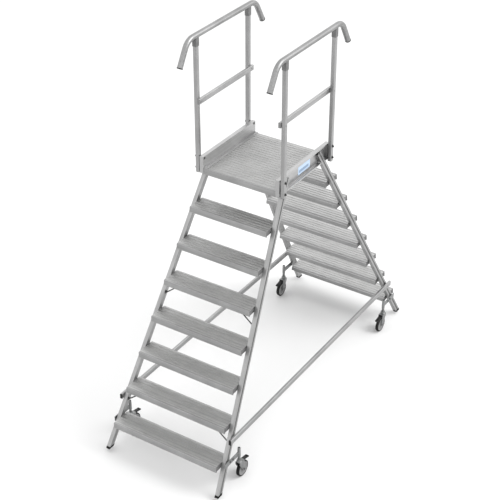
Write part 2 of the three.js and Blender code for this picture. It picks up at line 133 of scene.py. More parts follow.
def clear_half(z):
    """Half of the clear width between the stiles at a height."""
    return CLEAR_HALF_AT_DECK + SPLAY * (DECK_TOP - z)


def nose_y(z):
    """The line through the front edges of the treads."""
    return NOSE_Y_AT_DECK - RUN_PER_MM * (DECK_TOP - z)


def stile_centre(z):
    return Vector((clear_half(z) + STILE_LEVEL_WIDTH / 2, nose_y(z) + STILE_SETBACK, z))


STILE_UP = Vector((-SPLAY, RUN_PER_MM, 1)).normalized()
STILE_OUT = Vector((1, 0, SPLAY)).normalized()
STILE_BACK = STILE_UP.cross(STILE_OUT)

# Where a part drawn at the front right-hand corner goes.
HALF_TURN = Matrix.Rotation(math.pi, 4, "Z")
MIRROR = Matrix.Diagonal((-1, 1, 1, 1))
CORNERS = {
    "front_right": Matrix.Identity(4),
    "front_left": MIRROR,
    "rear_left": HALF_TURN,
    "rear_right": HALF_TURN @ MIRROR,
}
SIDES = {"right": Matrix.Identity(4), "left": MIRROR}
ENDS = {"front": Matrix.Identity(4), "rear": HALF_TURN}


# ---------------------------------------------------------------- node helper and colours

def linear(hex_colour):
    """An sRGB hex colour as linear RGBA."""
    values = [int(hex_colour[i:i + 2], 16) / 255 for i in (1, 3, 5)]
    return tuple(v / 12.92 if v <= 0.04045 else ((v + 0.055) / 1.055) ** 2.4 for v in values) + (1,)


def node(tree, kind, settings=None, **inputs):
    """Adds a node; inputs are values or output sockets, named by socket with _ for a space."""
    made = tree.nodes.new("ShaderNode" + kind)
    for key, value in (settings or {}).items():
        setattr(made, key, value)
    for key, value in inputs.items():
        name = key.replace("_", " ")
        socket = made.inputs[int(key[1:])] if key[1:].isdigit() else made.inputs[name]
        if isinstance(value, bpy.types.NodeSocket):
            tree.links.new(value, socket)
        else:
            socket.default_value = value
    return made


def new_material(name):
    """An empty material with its shader; returns the material, its tree and the shader."""
    material = bpy.data.materials.new(name)
    material.use_nodes = True
    tree = material.node_tree
    shader = tree.nodes["Principled BSDF"]
    return material, tree, shader


def streaks(tree, grain, length, width, seed):
    """Noise drawn out along the grain, in metres: the die lines and handling marks of a metal."""
    turn = Vector(grain).to_track_quat("X", "Z").to_euler()
    place = node(tree, "TexCoord").outputs["Object"]
    along = node(
        tree, "Mapping", {"vector_type": "TEXTURE"}, Vector=place, Rotation=turn,
        Scale=(length, width, width), Location=(seed, seed * 0.7, seed * 1.3),
    )
    noise = node(tree, "TexNoise", Vector=along.outputs["Vector"], Scale=1.0, Detail=3.0)
    return noise.outputs["Factor" if "Factor" in noise.outputs else "Fac"]


def blotches(tree, size, seed, detail=4.0):
    """Soft patches of a size in metres."""
    place = node(tree, "TexCoord").outputs["Object"]
    spread = node(
        tree, "Mapping", {"vector_type": "TEXTURE"}, Vector=place,
        Scale=(size, size, size), Location=(seed, seed, -seed),
    )
    noise = node(tree, "TexNoise", Vector=spread.outputs["Vector"], Scale=1.0, Detail=detail)
    return noise.outputs["Factor" if "Factor" in noise.outputs else "Fac"]


def between(tree, factor, low_value, high_value, start=0.3, end=0.7):
    """Maps a factor from start..end to two values."""
    mapped = node(tree, "MapRange", Value=factor, **{
        "From Min": start, "From Max": end, "To Min": low_value, "To Max": high_value,
    })
    return mapped.outputs["Result"]


def mixed(tree, factor, first, second):
    return node(tree, "Mix", {"data_type": "RGBA"}, i0=factor, i6=first, i7=second).outputs[2]


def tint(tree, factor, dark, light):
    """A colour between two hex colours."""
    return mixed(tree, factor, linear(dark), linear(light))


def bump(tree, height, strength, distance):
    return node(tree, "Bump", Height=height, Strength=strength, Distance=distance).outputs["Normal"]


# ---------------------------------------------------------------- materials

def mill_aluminium(name, grain, dark="#929292", light="#a6a6a6", shade=None):
    """Extruded aluminium as it leaves the die: a satin grey with faint lines along the bar.

    The shade, where there is one, is a function that makes a mask of where the colour is painted
    darker, as painted shade.
    """
    material, tree, shader = new_material(name)
    shader.inputs["Metallic"].default_value = 1.0
    # Die lines are about 1 mm apart; the broad ones are drawn 7 mm wide, so that they show.
    broad = streaks(tree, grain, 0.5, 0.007, 0.31)
    fine = streaks(tree, grain, 0.12, 0.0011, 0.77)
    cloud = blotches(tree, 0.16, 0.4)
    tone = node(tree, "Math", {"operation": "ADD"}, i0=broad, i1=cloud).outputs[0]
    colour = tint(tree, between(tree, tone, 0, 1, 0.75, 1.25), dark, light)
    # Painted shade: where the mask says, the colour is painted a darker grey for the shade in the
    # recess.
    if shade:
        colour = mixed(tree, shade(tree), colour, linear("#787877"))
    tree.links.new(colour, shader.inputs["Base Color"])
    tree.links.new(between(tree, fine, 0.36, 0.5), shader.inputs["Roughness"])
    tree.links.new(bump(tree, fine, 0.12, 0.0004), shader.inputs["Normal"])
    return material


def painted_groove_shade_mask(corner):
    """Makes the mask of a stile's outer groove, where the colour is painted darker as painted shade
    in the recess; it softens over 1.5 mm.
    """
    turn = CORNERS[corner].to_3x3()
    middle = CORNERS[corner] @ stile_centre(DECK_TOP / 2) / 1000

    def distance(tree, direction):
        place = node(tree, "TexCoord").outputs["Object"]
        offset = node(tree, "VectorMath", {"operation": "SUBTRACT"}, i0=place, i1=middle)
        along = turn @ direction
        return node(
            tree, "VectorMath", {"operation": "DOT_PRODUCT"}, i0=offset.outputs[0], i1=along,
        ).outputs["Value"]

    def mask(tree):
        half = GROOVE_WIDTH / 2000
        across = node(tree, "Math", {"operation": "ABSOLUTE"}, i0=distance(tree, STILE_BACK))
        inside = between(tree, across.outputs[0], 1, 0, half - 0.0005, half + 0.001)
        outer = between(tree, distance(tree, STILE_OUT), 0, 1, 0, 0.001)
        return node(tree, "Math", {"operation": "MULTIPLY"}, i0=inside, i1=outer).outputs[0]

    return mask


def tread_aluminium(name, dark, light, rough):
    """Ribbed tread extrusion with faint lines and soft patches; its copies are painted lighter and
    darker, as painted light and painted shade, and the grooves' copy is rougher.
    """
    material, tree, shader = new_material(name)
    shader.inputs["Metallic"].default_value = 1.0
    broad = streaks(tree, X_AXIS, 0.9, 0.02, 0.13)
    fine = streaks(tree, X_AXIS, 0.1, 0.0012, 0.59)
    scuffs = blotches(tree, 0.09, 0.9, 3.0)
    tone = node(tree, "Math", {"operation": "ADD"}, i0=broad, i1=scuffs).outputs[0]
    tree.links.new(tint(tree, between(tree, tone, 0, 1, 0.7, 1.3), dark, light),
                   shader.inputs["Base Color"])
    tree.links.new(between(tree, fine, rough[0], rough[1]), shader.inputs["Roughness"])
    tree.links.new(bump(tree, fine, 0.1, 0.0003), shader.inputs["Normal"])
    return material


def cast_aluminium():
    """Tumbled die casting: darker than the bars, with the orange-peel skin of the mould."""
    material, tree, shader = new_material("die_cast_aluminium")
    shader.inputs["Metallic"].default_value = 0.85
    skin = blotches(tree, 0.0016, 0.2, 2.0)
    cloud = blotches(tree, 0.03, 0.6)
    tree.links.new(tint(tree, between(tree, cloud, 0, 1), "#6c6c6c", "#808080"),
                   shader.inputs["Base Color"])
    tree.links.new(between(tree, skin, 0.48, 0.66), shader.inputs["Roughness"])
    tree.links.new(bump(tree, skin, 0.3, 0.0003), shader.inputs["Normal"])
    return material


def plated_steel(name, dark, light):
    """Plated steel: a cool grey with the faint clouds that the bath leaves."""
    material, tree, shader = new_material(name)
    shader.inputs["Metallic"].default_value = 1.0
    cloud = blotches(tree, 0.012, 0.5, 5.0)
    grit = blotches(tree, 0.0012, 0.8, 2.0)
    tree.links.new(tint(tree, between(tree, cloud, 0, 1), dark, light),
                   shader.inputs["Base Color"])
    tree.links.new(between(tree, cloud, 0.3, 0.46), shader.inputs["Roughness"])
    tree.links.new(bump(tree, grit, 0.15, 0.0002), shader.inputs["Normal"])
    return material


def black_rubber():
    """Moulded rubber: matt black with a dusty bloom and a grain of about a millimetre."""
    material, tree, shader = new_material("black_rubber")
    dust = blotches(tree, 0.02, 0.3, 6.0)
    grain = blotches(tree, 0.0011, 0.7, 2.0)
    tree.links.new(tint(tree, between(tree, dust, 0, 1, 0.4, 0.75), "#0c0c0c", "#1a1a1a"),
                   shader.inputs["Base Color"])
    tree.links.new(between(tree, dust, 0.7, 0.9), shader.inputs["Roughness"])
    tree.links.new(bump(tree, grain, 0.35, 0.0004), shader.inputs["Normal"])
    shader.inputs["IOR"].default_value = 1.52
    shader.inputs["Specular IOR Level"].default_value = 0.25
    return material


def black_plastic():
    """Moulded polyamide: black, half gloss, with a fine spark-eroded texture."""
    material, tree, shader = new_material("black_polyamide")
    texture = blotches(tree, 0.0009, 0.45, 2.0)
    rubbed = blotches(tree, 0.018, 0.15)
    tree.links.new(tint(tree, between(tree, rubbed, 0, 1), "#080808", "#121212"),
                   shader.inputs["Base Color"])
    tree.links.new(between(tree, rubbed, 0.45, 0.6), shader.inputs["Roughness"])
    tree.links.new(bump(tree, texture, 0.25, 0.0003), shader.inputs["Normal"])
    shader.inputs["IOR"].default_value = 1.53
    shader.inputs["Specular IOR Level"].default_value = 0.3
    return material


def grey_plastic():
    """Moulded polypropylene of the wheel centres: mid grey with slight flow marks."""
    material, tree, shader = new_material("grey_polypropylene")
    flow = streaks(tree, Z_AXIS, 0.03, 0.008, 0.2)
    texture = blotches(tree, 0.0009, 0.35, 2.0)
    tree.links.new(tint(tree, between(tree, flow, 0, 1), "#6e6e6e", "#7c7c7c"),
                   shader.inputs["Base Color"])
    tree.links.new(between(tree, flow, 0.4, 0.55), shader.inputs["Roughness"])
    tree.links.new(bump(tree, texture, 0.2, 0.0003), shader.inputs["Normal"])
    shader.inputs["IOR"].default_value = 1.49
    return material


def label_film(name, dark, light):
    """Printed vinyl film, left blank: pale ink with a faint mottle under a gloss laminate."""
    material, tree, shader = new_material(name)
    ink = blotches(tree, 0.004, 0.25)
    tree.links.new(tint(tree, between(tree, ink, 0, 1), dark, light), shader.inputs["Base Color"])
    tree.links.new(between(tree, ink, 0.3, 0.4), shader.inputs["Roughness"])
    shader.inputs["IOR"].default_value = 1.5
    return material


def floor_paint():
    """A pale, even studio floor."""
    material, tree, shader = new_material("pale_studio_floor")
    cloud = blotches(tree, 2.5, 0.1)
    tree.links.new(tint(tree, between(tree, cloud, 0, 1), "#d2d2d2", "#d4d4d4"),
                   shader.inputs["Base Color"])
    shader.inputs["Roughness"].default_value = 0.9
    shader.inputs["Specular IOR Level"].default_value = 0.0
    return material


PLAIN_LIPS = mill_aluminium("mill_aluminium_across", X_AXIS, "#8e8e8e", "#a0a0a0")
BARS_ALONG_Y = mill_aluminium("mill_aluminium_lengthways", Y_AXIS)
# Painted light: the beams are painted lighter than the other bars, to lighten the shade inside their
# channels.
BEAM_METAL = mill_aluminium("mill_aluminium_beam_painted_light", Y_AXIS, "#a6a6a6", "#b4b4b4")
# Painted shade: the handrails are painted darker than the other bars, for how light falls on the tops
# of the round tubes.
HANDRAIL_METAL = mill_aluminium("mill_aluminium_handrail_painted_shade", Y_AXIS, "#848484", "#989898")
BARS_UPRIGHT = mill_aluminium("mill_aluminium_upright", Z_AXIS)
STILE_METAL = {
    corner: mill_aluminium(
        f"mill_aluminium_{corner}_stile", matrix.to_3x3() @ STILE_UP, shade=painted_groove_shade_mask(corner),
    )
    for corner, matrix in CORNERS.items()
}
# The front treads and the deck take a darker copy of the rib colour and the rear treads a lighter
# one: painted shade and painted light, for how light falls on each ladder.
RIB_TOPS = {
    "front": tread_aluminium("ribbed_aluminium_painted_shade", "#a2a2a2", "#aeaeae", (0.38, 0.5)),
    "rear": tread_aluminium("ribbed_aluminium_painted_light", "#b0b0b0", "#bcbcbc", (0.38, 0.5)),
}
# Painted light: the grooves are painted lighter than the rib tops, against the shade that falls in
# them.
GROOVES = tread_aluminium("ribbed_aluminium_grooves_painted_light", "#b2b2b1", "#bebebd", (0.46, 0.58))
CAST_METAL = cast_aluminium()
ZINC = plated_steel("zinc_plated_steel", "#7d7e7e", "#929393")
DARK_STEEL = plated_steel("phosphated_steel", "#484848", "#5c5c5c")
RUBBER = black_rubber()
BLACK_PLASTIC = black_plastic()
GREY_PLASTIC = grey_plastic()
LABEL_FIELD = label_film("pale_blue_label_film", "#9fb3ca", "#acbfd4")
LABEL_BAND = label_film("mid_blue_label_film", "#6d8199", "#788ca4")


# ---------------------------------------------------------------- shaping helpers, in mm

def all_of(bm):
    return bm.verts[:] + bm.edges[:] + bm.faces[:]


def placed(bm, matrix):
    bmesh.ops.transform(bm, matrix=matrix, verts=bm.verts)
    return bm


def joined(*meshes):
    """One bmesh that holds several."""
    whole = bmesh.new()
    for bm in meshes:
        passing = bpy.data.meshes.new("passing")
        bm.to_mesh(passing)
        bm.free()
        whole.from_mesh(passing)
        bpy.data.meshes.remove(passing)
    return whole


def copies(bm, matrices):
    """The shape at each matrix, as one bmesh."""
    return joined(*[placed(bm.copy(), m) for m in matrices])


def rounded(bm, width, segments=2, limit=25):
    """Bevels the edges that turn by more than a limit in degrees."""
    chosen = [
        e for e in bm.edges
        if len(e.link_faces) == 2 and e.calc_face_angle(0) > math.radians(limit)
    ]
    bmesh.ops.bevel(
        bm, geom=chosen, offset=width, offset_type="OFFSET", affect="EDGES",
        segments=segments, profile=0.5, material=-1, clamp_overlap=True,
    )
    return bm


def block(lowest, highest, edge=0.0, segments=2):
    """A box between two corners, with rounded edges."""
    lowest, highest = Vector(lowest), Vector(highest)
    size = highest - lowest
    bm = bmesh.new()
    bmesh.ops.create_cube(bm, size=1)
    bmesh.ops.transform(
        bm, matrix=Matrix.Translation((lowest + highest) / 2) @ Matrix.Diagonal((*size, 1)),
        verts=bm.verts,
    )
    return rounded(bm, edge, segments) if edge else bm


def axis_frame(start, direction):
    """A matrix that puts Z along a direction, from a start."""
    turn = Vector(direction).to_track_quat("Z", "Y").to_matrix().to_4x4()
    return Matrix.Translation(Vector(start)) @ turn


def rod(start, end, radius, sides=24, edge=0.0):
    """A round bar between two points."""
    start, end = Vector(start), Vector(end)
    length = (end - start).length
    bm = bmesh.new()
    bmesh.ops.create_cone(
        bm, cap_ends=True, segments=sides, radius1=radius, radius2=radius, depth=length,
    )
    bmesh.ops.translate(bm, vec=(0, 0, length / 2), verts=bm.verts)
    if edge:
        rounded(bm, edge, 2, 50)
    return placed(bm, axis_frame(start, end - start))


def turned(profile, start, direction, steps=32):
    """A shape turned on a lathe: the profile is (radius, height) along the direction."""
    bm = bmesh.new()
    verts = [bm.verts.new((r, 0, h)) for r, h in profile]
    for first, second in zip(verts, verts[1:]):
        bm.edges.new((first, second))
    bmesh.ops.spin(
        bm, geom=bm.verts[:] + bm.edges[:], cent=(0, 0, 0), axis=(0, 0, 1),
        angle=2 * math.pi, steps=steps, use_merge=True,
    )
    bmesh.ops.remove_doubles(bm, verts=bm.verts, dist=1e-4)
    return placed(bm, axis_frame(start, direction))


def extruded(points, length, corner=0.0, corner_segments=3):
    """A section in X and Y, extruded along Z from 0, with rounded corners where asked."""
    bm = bmesh.new()
    verts = [bm.verts.new((x, y, 0)) for x, y in points]
    outline = [bm.edges.new((verts[i - 1], verts[i])) for i in range(len(verts))]
    bmesh.ops.contextual_create(bm, geom=outline)
    if corner:
        bmesh.ops.bevel(
            bm, geom=bm.verts[:], offset=corner, offset_type="OFFSET",
            affect="VERTICES", segments=corner_segments, profile=0.5, material=-1,
        )
    grown = bmesh.ops.extrude_face_region(bm, geom=bm.faces[:])
    moved = [g for g in grown["geom"] if isinstance(g, bmesh.types.BMVert)]
    bmesh.ops.translate(bm, vec=(0, 0, length), verts=moved)
    bmesh.ops.recalc_face_normals(bm, faces=bm.faces)
    return bm


def laid_across(bm, start, height=0):
    """Turns a section drawn in (depth, height), so that its length runs along X from a start."""
    return placed(bm, Matrix(((0, 0, 1, start), (1, 0, 0, 0), (0, 1, 0, height), (0, 0, 0, 1))))


def rectangle(width, depth):
    w, d = width / 2, depth / 2
    return [(-w, -d), (w, -d), (w, d), (-w, d)]


def hollow_bar(width, depth, wall, radius, length, segments=4):
    """A drawn rectangular tube along Z from 0: rounded corners outside and inside."""
    outer = bmesh.new()
    verts = [outer.verts.new((x, y, 0)) for x, y in rectangle(width, depth)]
    outer.faces.new(verts)
    bmesh.ops.bevel(
        outer, geom=outer.verts[:], offset=radius, offset_type="OFFSET", affect="VERTICES",
        segments=segments, profile=0.5, material=-1,
    )
    bmesh.ops.inset_region(
        outer, faces=outer.faces[:], thickness=wall, use_even_offset=True, use_boundary=True,
    )
    middle = [f for f in outer.faces if len(f.verts) > 4]
    bmesh.ops.delete(outer, geom=middle, context="FACES_ONLY")
    grown = bmesh.ops.extrude_face_region(outer, geom=outer.faces[:])
    moved = [g for g in grown["geom"] if isinstance(g, bmesh.types.BMVert)]
    bmesh.ops.translate(outer, vec=(0, 0, length), verts=moved)
    bmesh.ops.recalc_face_normals(outer, faces=outer.faces)
    return outer


def hexagon(start, direction, across, height, edge=0.6):
    """A bolt head or nut, with its corners turned off at the top."""
    bm = bmesh.new()
    bmesh.ops.create_cone(
        bm, cap_ends=True, segments=6, radius1=across / math.sqrt(3),
        radius2=across / math.sqrt(3), depth=height,
    )
    bmesh.ops.translate(bm, vec=(0, 0, height / 2), verts=bm.verts)
    rounded(bm, edge, 2, 30)
    return placed(bm, axis_frame(start, direction))


def washer(start, direction, radius, bore, height):
    profile = [(bore, 0), (radius, 0), (radius, height), (bore, height), (bore, 0)]
    return turned(profile, start, direction, 24)


def dome(start, direction, radius, height, steps=20):
    """A mushroom head."""
    arc = [math.radians(a) for a in (0, 25, 50, 72, 90)]
    profile = [(0, 0)] + [(radius * math.cos(a), height * math.sin(a)) for a in arc]
    return turned(profile, start, direction, steps)


def bolt(surface, outward, across, shank=0.0):
    """A hexagon head on a washer; the end of the shank may stand out of it, as on a nut."""
    outward = Vector(outward).normalized()
    surface = Vector(surface)
    thick = across * 0.12
    parts = [
        washer(surface, outward, across * 0.85, across * 0.3, thick),
        hexagon(surface + outward * thick, outward, across, across * 0.55),
    ]
    if shank:
        base = surface + outward * across * 0.4
        parts.append(rod(base, base + outward * shank, across * 0.3, 16, across * 0.05))
    return joined(*parts)


def finish(bm, name, material, body="ladder_frame", replaces=(), smooth=32, more=()):
    """Makes the object: in metres, normals outwards, soft where it curves, riding on its body.

    The faces take the first material unless their index says one of the others.
    """
    bmesh.ops.remove_doubles(bm, verts=bm.verts, dist=1e-3)
    bmesh.ops.recalc_face_normals(bm, faces=bm.faces)
    bmesh.ops.scale(bm, vec=(0.001, 0.001, 0.001), verts=bm.verts)
    for face in bm.faces:
        face.smooth = True
    for edge in bm.edges:
        edge.smooth = len(edge.link_faces) == 2 and edge.calc_face_angle(0) < math.radians(smooth)
    mesh = bpy.data.meshes.new(name)
    bm.to_mesh(mesh)
    bm.free()
    for layer in (material, *more):
        mesh.materials.append(layer)
    piece = bpy.data.objects.new(name, mesh)
    bpy.context.scene.collection.objects.link(piece)
    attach(piece, body)
    if replaces:
        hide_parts(*replaces)
    return piece


def dress(name, material, edge=0.0):
    """Gives a CAD node its material, and softens its edges with modifiers."""
    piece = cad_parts[name]
    piece.data.materials.clear()
    piece.data.materials.append(material)
    if edge:
        weld = piece.modifiers.new("weld", "WELD")
        weld.merge_threshold = 1e-5
        soften = piece.modifiers.new("soften", "BEVEL")
        soften.width = edge / 1000
        soften.segments = 2
        soften.limit_method = "ANGLE"
        soften.angle_limit = math.radians(30)
        soften.harden_normals = False
    return piece


# ---------------------------------------------------------------- treads and platform

RIB_PITCH = 29.25
RIB_WIDTH = 12.5
RIB_HEIGHT = 1.6
TOOTH_WIDTH = 2.2
SHEET = 3
NOSE_STRIP = 15
BACK_RADIUS = 20
FIRST_RIB = 29.75
LAST_RIB = 146.75


def ribs(first, last):
    """(start, end) of the raised lands: broad ribs, with two narrow teeth between them."""
    count = round((last - first) / RIB_PITCH)
    pitch = (last - first) / count
    lands = []
    for i in range(count + 1):
        middle = first + i * pitch
        lands.append((middle - RIB_WIDTH / 2, middle + RIB_WIDTH / 2))
        if i < count:
            for share in (1, 2):
                groove = (pitch - RIB_WIDTH - 2 * TOOTH_WIDTH) / 3
                start = middle + RIB_WIDTH / 2 + share * groove + (share - 1) * TOOTH_WIDTH
                lands.append((start, start + TOOTH_WIDTH))
    return lands


def plank_section(depth, lip, lands, webs):
    """Section across a plank in (depth, height), its nose at 0 and the rib tops at 0."""
    floor = -RIB_HEIGHT
    under = floor - SHEET
    returned = 10
    nose = 3.5
    back = BACK_RADIUS
    points = [(0, -nose), (0, -lip), (returned, -lip), (returned, -lip + SHEET)]
    points += [(SHEET, -lip + SHEET), (SHEET, under)]
    for i in range(1, webs + 1):
        middle = depth * i / (webs + 1)
        low_end = -0.55 * lip
        points += [(middle - 1.5, under), (middle - 1.5, low_end)]
        points += [(middle + 1.5, low_end), (middle + 1.5, under)]
    points += [(depth - SHEET, under), (depth - SHEET, -lip + SHEET)]
    points += [(depth - returned, -lip + SHEET), (depth - returned, -lip), (depth, -lip)]
    for i in range(6):
        turn = math.radians(18 * i)
        points.append((
            depth - back + back * math.cos(turn), -back + back * math.sin(turn),
        ))
    last_strip = depth - back - 1
    points += [(last_strip, 0), (last_strip - 0.6, floor)]
    slope = 0.5
    for start, end in reversed([land for land in lands if land[1] < last_strip - 1]):
        points += [(end, floor), (end - slope, 0), (start + slope, 0), (start, floor)]
    points += [(NOSE_STRIP, floor), (NOSE_STRIP - 0.6, 0), (nose, 0), (1, -1.2)]
    return points


def plank(depth, lip, lands, webs, half_length):
    """A plank along X, its nose at y = 0 and its rib tops at z = 0.

    Its faces are marked 0 for the rib tops, 1 for the grooves and 2 for the plain lips.
    """
    bm = extruded(plank_section(depth, lip, lands, webs), 2 * half_length)
    laid_across(bm, -half_length)
    bmesh.ops.recalc_face_normals(bm, faces=bm.faces)
    for face in bm.faces:
        middle = face.calc_center_median()
        if face.normal.z > 0.9 and middle.z > -RIB_HEIGHT / 2:
            face.material_index = 0 if middle.y > NOSE_STRIP else 2
        elif face.normal.z > 0.25 and middle.y > depth / 2 and middle.z > -BACK_RADIUS:
            face.material_index = 0 if middle.z < -RIB_HEIGHT - 0.1 else 1
        elif middle.z > -RIB_HEIGHT - 0.1 and len(face.verts) == 4:
            face.material_index = 1
        else:
            face.material_index = 2
    return bm


def tread(end, number):
    name = f"{end}_tread_{number}"
    z = DECK_TOP - number * RISE
    lands = ribs(FIRST_RIB, LAST_RIB)
    bm = plank(TREAD_DEPTH, TREAD_LIP, lands, 1, 100)
    for vert in bm.verts:
        vert.co.x = math.copysign(clear_half(z + vert.co.z) - GAP, vert.co.x)
    placed(bm, ENDS[end] @ Matrix.Translation((0, nose_y(z), z)))
    finish(bm, f"{name}_plank", RIB_TOPS[end], replaces=[name],
           more=[GROOVES, PLAIN_LIPS])


def tread_end_plates(end):
    """Cast plates that close the ends of every tread, set just inside it, with their rivets."""
    parts = []
    inner = SHEET + GAP
    half = TREAD_DEPTH / 2
    recess = 2
    bottom, top = -TREAD_LIP + SHEET + GAP, -RIB_HEIGHT - SHEET - GAP
    for number in range(1, TREADS + 1):
        z = DECK_TOP - number * RISE
        for mirror in SIDES.values():
            plates = [
                block((-recess - 5, inner, bottom), (-recess, half - 2, top), 1),
                block((-recess - 5, half + 2, bottom), (-recess, TREAD_DEPTH - inner, top), 1),
            ]
            heads = [dome((-recess, y, (bottom + top) / 2), X_AXIS, 5, 1.6, 12) for y in (62, 146)]
            plate = joined(*plates, *heads)
            for vert in plate.verts:
                vert.co.x += clear_half(z + vert.co.z) - GAP
            placed(plate, mirror @ Matrix.Translation((0, nose_y(z), z)))
            parts.append(plate)
    bm = placed(joined(*parts), ENDS[end])
    finish(bm, f"{end}_tread_end_plates", CAST_METAL)


BRACE_DROP = 128
BRACE_REACH = 150
BRACE_SETBACK = 30


def brace_rods(end, number):
    """Rods from under a tread down to the stiles, with flattened ends that are bolted."""
    z = DECK_TOP - number * RISE
    parts = []
    for side in (1, -1):
        foot = Vector((clear_half(z - BRACE_DROP) - 3, nose_y(z) + BRACE_SETBACK, z - BRACE_DROP))
        head = foot + Vector((-BRACE_REACH, 0, BRACE_DROP - RIB_HEIGHT - SHEET))
        along = (head - foot).normalized()
        bar = rod(foot + along * 6, head - along * 6, 4.6, 16, 0.5)
        foot_plate = block((-3.2, -9, -12), (-0.2, 9, 12), 1)
        placed(foot_plate, Matrix.Translation(foot + Vector((3, 0, 4))))
        head_plate = block((-14, -9, -3), (14, 9, -0.2), 1)
        placed(head_plate, Matrix.Translation(head))
        foot_bolt = bolt(foot + Vector((-0.2, 0, 11)), (-1, 0, 0), 8)
        arm = joined(bar, foot_plate, head_plate, foot_bolt)
        parts.append(arm if side > 0 else placed(arm, MIRROR))
    bm = placed(joined(*parts), ENDS[end])
    finish(bm, f"{end}_tread_{number}_brace_rods", DARK_STEEL)


EDGE_STRIP = 27


def platform():
    """The ribbed deck, with a riveted strip along each side beam."""
    depth = 2 * DECK_HALF_DEPTH
    lands = ribs(26.5, depth - 26.5)
    bm = plank(depth, TREAD_LIP, lands, 5, BEAM_INNER_X - GAP)
    placed(bm, Matrix.Translation((0, -DECK_HALF_DEPTH, DECK_TOP)))
    finish(bm, "platform_plank", RIB_TOPS["front"],
           replaces=["platform_deck"], more=[GROOVES, PLAIN_LIPS])
    for side, mirror in SIDES.items():
        strip = block(
            (BEAM_INNER_X - EDGE_STRIP, -DECK_HALF_DEPTH + 1, DECK_TOP - 0.4),
            (BEAM_INNER_X + 0.4, DECK_HALF_DEPTH - 1, DECK_TOP + 1.8), 0.6,
        )
        rivets = copies(
            dome((0, 0, 0), Z_AXIS, 4.5, 2, 12),
            [Matrix.Translation((BEAM_INNER_X - 13, y, DECK_TOP + 1.8))
             for y in (-300, -180, -60, 60, 180, 300)],
        )
        bm = placed(joined(strip, rivets), mirror)
        finish(bm, f"{side}_platform_edge_strip", BARS_ALONG_Y)


for end in ENDS:
    for number in range(1, TREADS + 1):
        tread(end, number)
    tread_end_plates(end)
    for number in BRACED_TREADS:
        brace_rods(end, number)
platform()


# ---------------------------------------------------------------- stiles and feet

def stile_details(corner):
    """Flat rivets in the stile's groove, two for every tread, and the bolts at its top."""
    parts = []
    groove = STILE_WIDTH / 2 - GROOVE_DEPTH
    for number in range(1, TREADS + 1):
        z = DECK_TOP - number * RISE - 20
        for shift in (-9, 9):
            middle = stile_centre(z) + STILE_UP * shift
            parts.append(dome(middle + STILE_OUT * groove, STILE_OUT, 4.6, 2.2, 16))
    for z in (1912, 1972):
        parts.append(bolt(stile_centre(z) + STILE_OUT * groove, STILE_OUT, 8))
    bm = placed(joined(*parts), CORNERS[corner])
    finish(bm, f"{corner}_stile_rivets", ZINC)


def foot(corner):
    """A rubber shoe over the stile's end, with two grip grooves round it."""
    name = f"{corner}_foot"
    base, top = low(name).z, 39.7
    half_x, half_y = STILE_WIDTH / 2 + 1.2, STILE_DEPTH / 2 + 1.2
    bm = extruded(rectangle(2 * half_x, 2 * half_y), 60, 3)
    placed(bm, Matrix.Translation((0, 0, -30)))
    frame_matrix = Matrix((
        (STILE_OUT.x, STILE_BACK.x, STILE_UP.x, 0),
        (STILE_OUT.y, STILE_BACK.y, STILE_UP.y, 0),
        (STILE_OUT.z, STILE_BACK.z, STILE_UP.z, 0),
        (0, 0, 0, 1),
    ))
    placed(bm, Matrix.Translation(stile_centre(40)) @ frame_matrix)
    for height, normal in ((base, -1), (top, 1)):
        cut = bmesh.ops.bisect_plane(
            bm, geom=all_of(bm), plane_co=(0, 0, height), plane_no=(0, 0, normal),
            clear_outer=True,
        )
        rim = [g for g in cut["geom_cut"] if isinstance(g, bmesh.types.BMEdge)]
        bmesh.ops.contextual_create(bm, geom=rim)
    for height in (base + 3, base + 4.4, base + 6.4, base + 7.8):
        bmesh.ops.bisect_plane(
            bm, geom=all_of(bm), plane_co=(0, 0, height), plane_no=(0, 0, 1),
        )
    bmesh.ops.recalc_face_normals(bm, faces=bm.faces)
    grooves = [
        f for f in bm.faces
        if abs(f.normal.z) < 0.9 and any(
            start < f.calc_center_median().z < start + 1.4 for start in (base + 3, base + 6.4)
        )
    ]
    bmesh.ops.inset_region(
        bm, faces=grooves, thickness=0.05, depth=-1.0, use_even_offset=True,
    )
    placed(bm, CORNERS[corner])
    finish(bm, f"{name}_shoe", RUBBER, replaces=[name])


for corner in CORNERS:
    dress(f"{corner}_stile", STILE_METAL[corner], 0.9)
    stile_details(corner)
    foot(corner)


# ---------------------------------------------------------------- casters

CASTER_X = 480
CASTER_Y = -1080
ARM_Z = 230
ARM_THICKNESS = 5
AXLE = Vector((0, 38, 62.5))
PEDAL_PIVOT = Vector((0, 28, 138))
PEDAL_TIP_Y = 108
PEDAL_WIDTH = 28
FORK_HALF = 20
POCKET_TOP = 212


def caster_place(corner):
    return CORNERS[corner] @ Matrix.Translation((CASTER_X, CASTER_Y, 0))


